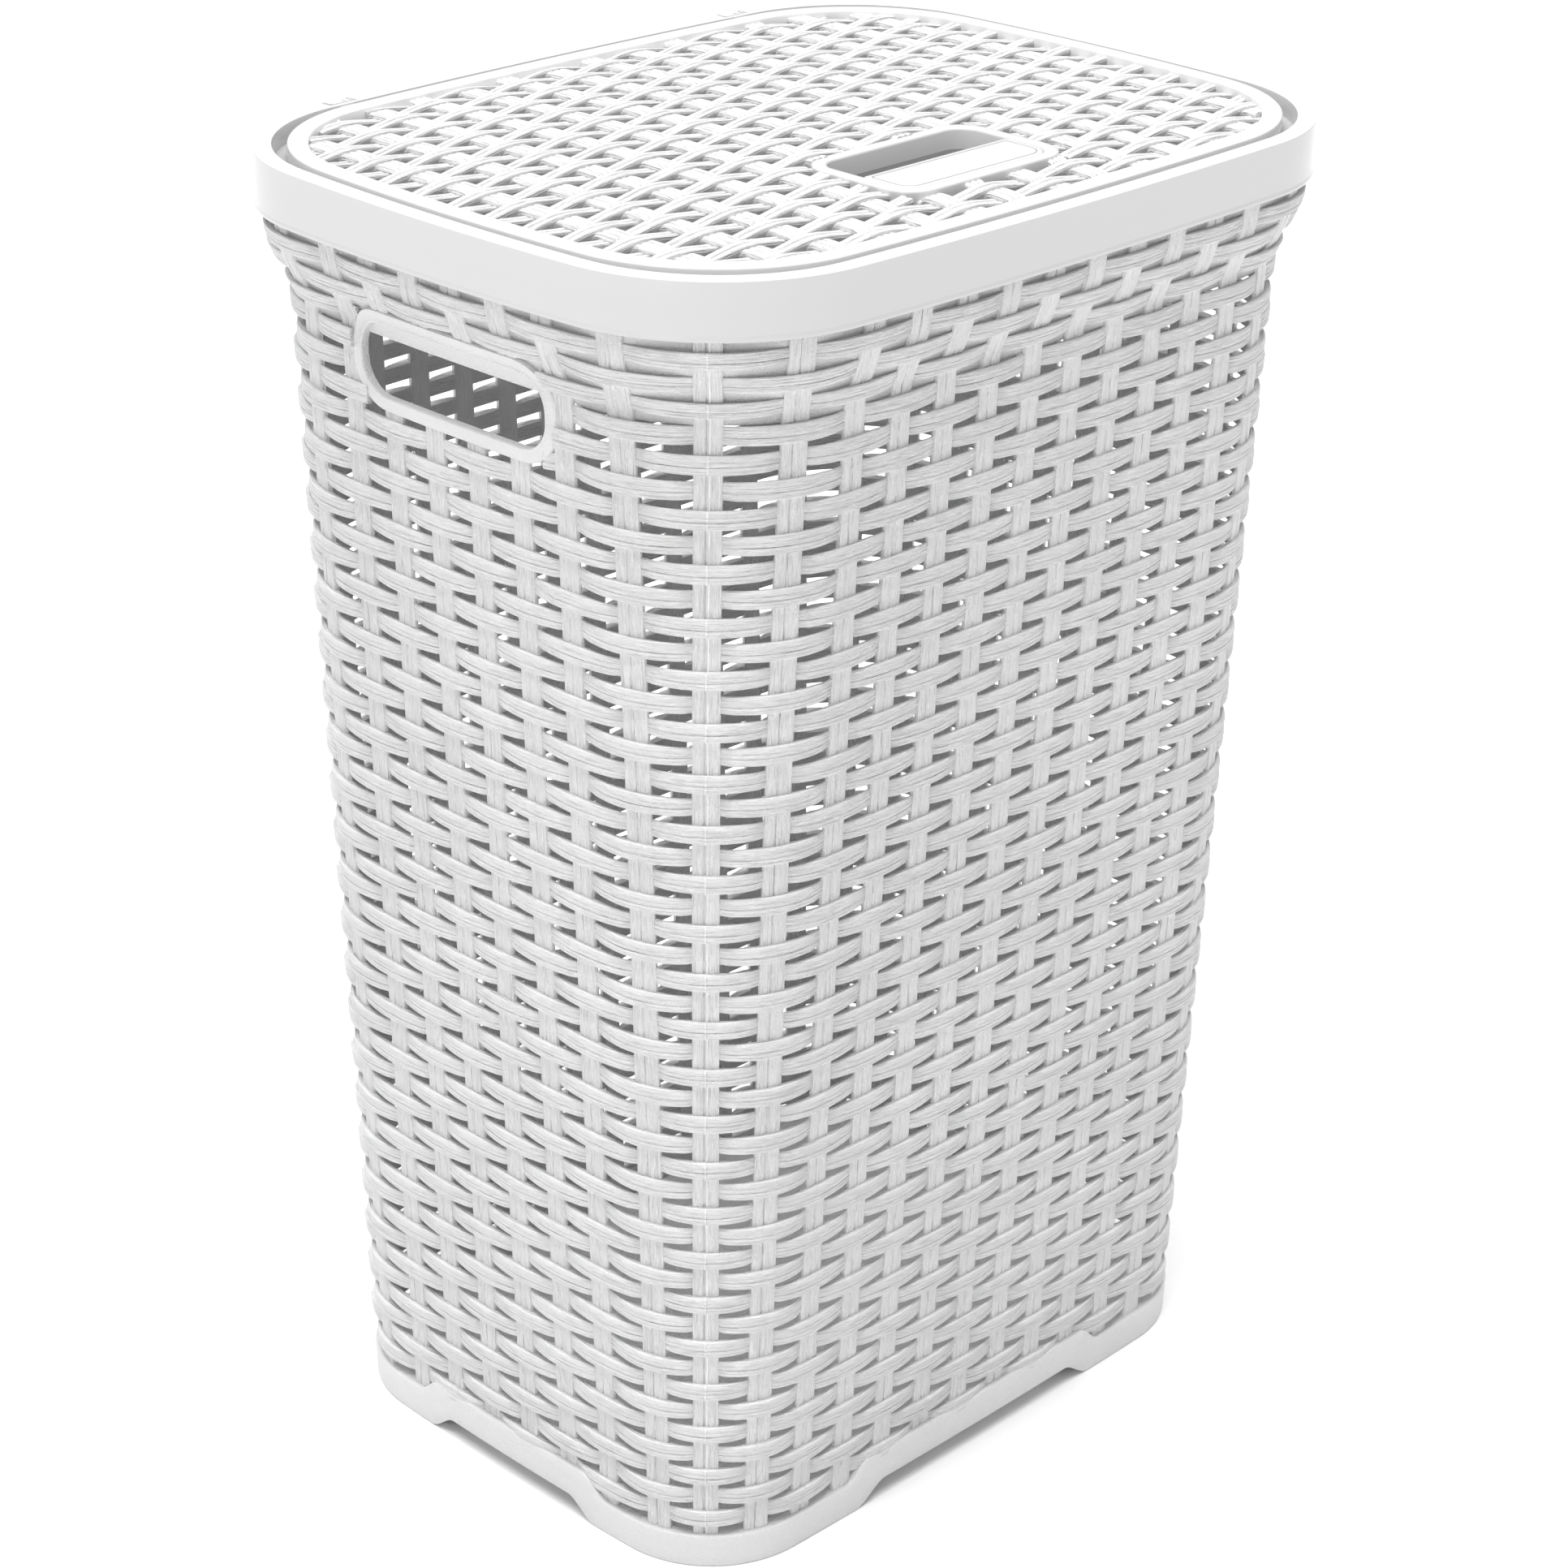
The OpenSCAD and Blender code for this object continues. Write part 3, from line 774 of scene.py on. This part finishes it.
LID_REEDS = np.array([
    (-1.4, -3.3), (-0.4, -3.22), (-0.06, -2.9), (0.0, -1.9), (-0.06, -0.75), (-0.4, -0.3),
    (-0.4, 0.25), (-0.06, 0.7), (0.0, 1.9), (-0.06, 2.9), (-0.4, 3.22), (-1.4, 3.3),
])  # fmt: skip
STRIP_RIDGES = np.array([
    (-2.2, -5.1), (-1.0, -4.95), (-0.3, -4.3), (-0.05, -3.4), (-0.3, -2.35), (-0.85, -1.75),
    (-0.3, -1.15), (0.0, 0.0), (-0.3, 1.15), (-0.85, 1.75), (-0.3, 2.35), (-0.05, 3.4),
    (-0.3, 4.3), (-1.0, 4.95), (-2.2, 5.1),
])  # fmt: skip


def spans(c, half_width, along_x):
    """Stretches of a strand or strip at distance c that are clear of the grip."""
    reach = field_half(c, along_x) + 0.8
    along_c, across_c = (0.0, -GRIP_Y) if along_x else (-GRIP_Y, 0.0)
    along_h, across_h = GRIP_HALF if along_x else GRIP_HALF[::-1]
    if abs(c - across_c) < across_h + 3.0 + half_width * 0.4:
        low, high = along_c - along_h - 3.5, along_c + along_h + 3.5
        return [(-reach, low), (high, reach)]
    return [(-reach, reach)]


def lid_bar(build, c, low, high, along_x, profile, stations, height):
    """One strand along X, or strip along Y, at distance c, between low and high."""
    t = np.unique(np.clip(stations, low, high))
    rings = []
    for off, across in profile:
        x, y = (t, c + across + 0.0 * t) if along_x else (c + across + 0.0 * t, t)
        rings.append(np.stack([x, y, dome(x, y) + height(t) + off], -1))
    for across in (profile[-1][1], profile[0][1]):
        x, y = (t, c + across + 0.0 * t) if along_x else (c + across + 0.0 * t, t)
        rings.append(np.stack([x, y, dome(x, y) - LID_THICK - 0.15 * (not along_x)], -1))
    points = np.stack(rings, 1)
    if along_x:
        points = points[:, ::-1]
    along = np.repeat(t * 0.07 + c * 3.3, points.shape[1])
    across = np.tile(np.arange(points.shape[1]) * 1.3, len(t))
    build.add(points, strip_faces(len(t), points.shape[1], caps=True), along=along, across=across)


def lid_weave():
    """Strands along X and wider strips along Y, over and under each other."""
    build = Builder()
    for row in range(-LID_ROWS, LID_ROWS + 1):
        y = row * LID_ROW_PITCH
        stations = []
        for k in range(-STRIPS - 1, STRIPS + 1):
            mid = (k + 0.5) * STRIP_PITCH
            stations.extend(mid + STRIP_PITCH * np.linspace(-0.5, 0.5, 15))

        def arch(x, row=row):
            place = x / STRIP_PITCH - 0.5
            phase = place + row
            return -LID_DIVE * (0.5 - 0.5 * np.cos(math.pi * phase))

        for low, high in spans(y, LID_ROW_HALF, True):
            lid_bar(build, y, low, high, True, LID_REEDS, np.array(stations), arch)
    build.build("lid_strands", LID, "basket_white", ("lid_weave",))
    build = Builder()
    for k in range(-STRIPS, STRIPS):
        x = (k + 0.5) * STRIP_PITCH
        steps = np.array([-1, -0.72, -0.62, -0.56, -0.5, -0.42, -0.3, -0.15])
        steps = np.concatenate([steps, [0], -steps[::-1]]) * LID_ROW_PITCH
        rows = [r for r in range(-LID_ROWS - 1, LID_ROWS + 2) if (r + k) % 2 == 1]
        stations = np.concatenate([r * LID_ROW_PITCH + steps for r in rows])

        def bump(y, k=k):
            place = np.mod(y / LID_ROW_PITCH + k, 2.0) - 1.0
            d = np.abs(place)
            round_end = np.sqrt(np.clip(1 - (d / 0.66) ** 6, 0, 1))
            return -LID_DIVE + (LID_DIVE + 0.1) * round_end

        for low, high in spans(x, STRIP_HALF, False):
            lid_bar(build, x, low, high, False, STRIP_RIDGES, stations, bump)
    build.build("lid_strips", LID, "basket_white", ("lid_weave",))


def plug(build, half_w, half_h, y, low, high, tone):
    """Flat bar that closes the middle of a plate swept inwards."""
    corners = box_corners((0.0, y, (low + high) / 2), (2 * half_w, 2 * half_h, high - low))
    build.add(corners, [BOX_QUADS], along=0.0, across=0.0, tone=tone)


def grip_frame():
    top = GRIP_TOP
    profile = [
        (0.0, top - 9.0), (0.0, top - 1.2), (0.2, top - 0.5), (0.7, top - 0.1), (1.4, top),
        (4.7, top), (5.5, top - 0.15), (5.95, top - 0.6), (6.0, top - 1.3), (6.0, top - 6.0),
        (2.0, top - 6.0), (2.0, top - 9.0),
    ]  # fmt: skip
    rings = []
    for out, z in profile:
        path = rounded_path(GRIP_HALF[0] + out, GRIP_HALF[1] + out, GRIP_R + out * 0.8)
        rings.append(np.stack([path[:, 0], path[:, 1] - GRIP_Y, np.full(len(path), z)], -1))
    points = np.stack(rings, 1)
    build = Builder()
    faces = strip_faces(points.shape[0], len(profile), closed_path=True)
    # painted light: the frame is made whiter, as lit from above
    build.add(points, faces, along=0.0, across=0.0, tone=GRIP_LIGHT)
    return build.build("grip_bezel", LID, "collar_white", ("grip_frame",), sharp=50.0)


def grip_pocket():
    """Cup under the grip's opening, with a rounded floor edge."""
    top = GRIP_TOP - 6.0
    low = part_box("grip_pocket")[0].z / MM
    # (how far out from the opening's edge, height)
    profile = [
        (0.05, top), (-0.1, low + 8.0), (-0.2, low + 5.0), (-0.8, low + 3.2), (-2.2, low + 2.2),
        (-4.0, low + 2.0), (-14.0, low + 2.0), (-24.9, low + 2.0),
    ]  # fmt: skip
    outside = [(-24.9, low), (-14.0, low), (-1.5, low), (0.9, low + 0.6), (1.9, low + 3.0), (2.0, top)]
    rings = []
    for out, z in profile + outside:
        r = max(GRIP_R + out, 0.4)
        path = rounded_path(GRIP_HALF[0] + out, GRIP_HALF[1] + out, r)
        rings.append(np.stack([path[:, 0], path[:, 1] - GRIP_Y, np.full(len(path), z)], -1))
    points = np.stack(rings, 1)[:, ::-1]
    build = Builder()
    count, ring = points.shape[0], points.shape[1]
    faces = strip_faces(count, ring, closed_path=True)
    # painted shade in the cup and on its plug
    build.add(points, faces, along=0.0, across=0.0, tone=CUP_SHADE)
    plug(build, 20.0, 1.0, -GRIP_Y, low + 0.02, low + 1.98, CUP_SHADE)
    return build.build("grip_cup", LID, "collar_white", ("grip_pocket",), sharp=45.0)


def grip_pad():
    """Flat pad over the front of the pocket, outlined by a thin groove."""
    top = GRIP_TOP - 0.5
    back = -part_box("grip_pad")[1].y / MM
    front = GRIP_Y + GRIP_HALF[1]
    half_l = (front - back) / 2
    middle = -(front + back) / 2
    # (how far in from the pad's edge, height below its top)
    profile = [
        (0.0, -3.2), (0.0, -0.5), (0.15, -0.1), (0.4, 0.0), (2.2, 0.0), (2.3, -1.1), (2.75, -1.1),
        (2.85, 0.0), (6.0, 0.05), (half_l - 0.2, 0.05),
    ]  # fmt: skip
    under = [(half_l - 0.2, -3.2)]
    rings = []
    for inset, h in profile + under:
        half_w = GRIP_HALF[0] - 0.3 - inset
        r = max(GRIP_R - inset, 0.15)
        r = min(r, half_l - inset)
        path = rounded_path(half_w, half_l - inset + 0.05, r)
        corner = np.abs(path) - (half_w - r, half_l - inset + 0.05 - r)
        free = (corner > 0).all(1) & (path[:, 1] > 0)  # the free edge keeps square corners
        grow = r / np.maximum(corner.max(1), 1e-6)
        square = (np.abs(path) - corner + corner * grow[:, None]) * np.sign(path)
        path = np.where(free[:, None], square, path)
        rings.append(np.stack([path[:, 0], path[:, 1] + middle, np.full(len(path), top + h)], -1))
    points = np.stack(rings, 1)[:, ::-1]
    build = Builder()
    # painted light: the pad is made whiter, as lit from above
    build.add(
        points,
        strip_faces(points.shape[0], points.shape[1], closed_path=True),
        along=0.0,
        across=0.0,
        tone=GRIP_LIGHT,
    )
    # painted light, as on the pad
    plug(build, GRIP_HALF[0] - half_l + 1.0, 0.6, middle, top - 3.15, top + 0.03, GRIP_LIGHT)
    return build.build("grip_plate", LID, "collar_white", ("grip_pad",), sharp=40.0)


lid_border()
lid_weave()
grip_frame()
grip_pocket()
grip_pad()

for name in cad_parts:
    if name == "floor_panel" or name.startswith("hinge_"):
        slot = "basket_white" if name == "floor_panel" else "hinge_white"
        for material_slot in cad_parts[name].material_slots:
            material_slot.material = MATERIALS[slot]

# ---- floor, light and camera ---------------------------------------------------------------


def floor_sheet():
    """Plain pale floor that fades out as a very large, faintly rounded disc."""
    radii = np.array([0.0, 1.5, 4.0, 9.0, 20.0])
    turns = np.linspace(0, 2 * math.pi, 64, endpoint=False)
    rings = [
        np.stack([r * np.cos(turns), r * np.sin(turns), np.full(64, -0.0001 * r * r)], -1)
        for r in radii[1:]
    ]
    points = np.concatenate([[[0, 0, 0]], *rings])
    mesh = bpy.data.meshes.new("floor")
    faces = [[0, 1 + i, 1 + (i + 1) % 64] for i in range(64)]
    for k in range(len(radii) - 2):
        for i in range(64):
            a, b = 1 + 64 * k + i, 1 + 64 * k + (i + 1) % 64
            faces.append([a, a + 64, b + 64, b])
    mesh.from_pydata([tuple(p) for p in points], [], faces)
    obj = bpy.data.objects.new("floor", mesh)
    bpy.context.scene.collection.objects.link(obj)
    mat = bpy.data.materials.new("pale_floor")
    mat.use_nodes = True
    shader = mat.node_tree.nodes["Principled BSDF"]
    shader.inputs["Base Color"].default_value = (0.93, 0.93, 0.93, 1)
    shader.inputs["Roughness"].default_value = 0.8
    shader.inputs["Specular IOR Level"].default_value = 0.1
    mesh.materials.append(mat)


def area_light(name, place, target, size, power):
    data = bpy.data.lights.new(name, "AREA")
    data.shape, data.size, data.size_y = "RECTANGLE", size[0], size[1]
    data.energy = power
    obj = bpy.data.objects.new(name, data)
    obj.location = place
    obj.rotation_euler = (Vector(target) - Vector(place)).to_track_quat("-Z", "Y").to_euler()
    bpy.context.scene.collection.objects.link(obj)


floor_sheet()
sun_data = bpy.data.lights.new("soft_sun", "SUN")
sun_data.energy = 3.8
sun_data.angle = math.radians(50.0)
sun = bpy.data.objects.new("soft_sun", sun_data)
sun.rotation_euler = Vector((0.14, 0.02, -1.0)).to_track_quat("-Z", "Y").to_euler()
bpy.context.scene.collection.objects.link(sun)
area_light("left_light", (-2.6, -0.9, 1.3), (0, 0, 0.3), (1.0, 2.2), 5.5)

world = bpy.data.worlds.new("studio")
world.use_nodes = True
world.node_tree.nodes["Background"].inputs["Color"].default_value = (1, 1, 1, 1)
world.node_tree.nodes["Background"].inputs["Strength"].default_value = 0.45
bpy.context.scene.world = world
bpy.context.scene.view_settings.view_transform = "Standard"

CAM_AZIMUTH = math.radians(-45.8)
CAM_ELEVATION = math.radians(24.93)
CAM_ROLL = math.radians(0.85)
CAM_DISTANCE = 1.7076
CAM_TARGET = Vector((0.00058, 0.00111, 0.29234))
CAM_LENS = 86.0

direction = Vector((
    math.sin(CAM_AZIMUTH) * math.cos(CAM_ELEVATION),
    -math.cos(CAM_AZIMUTH) * math.cos(CAM_ELEVATION),
    math.sin(CAM_ELEVATION),
))
camera_data = bpy.data.cameras.new("camera")
camera_data.lens = CAM_LENS
camera_data.sensor_width = 36.0
camera = bpy.data.objects.new("camera", camera_data)
camera.location = CAM_TARGET + direction * CAM_DISTANCE
look = (-direction).to_track_quat("-Z", "Y").to_matrix().to_4x4()
camera.rotation_euler = look.to_euler()
camera.rotation_euler.rotate_axis("Z", CAM_ROLL)
bpy.context.scene.collection.objects.link(camera)
bpy.context.scene.camera = camera
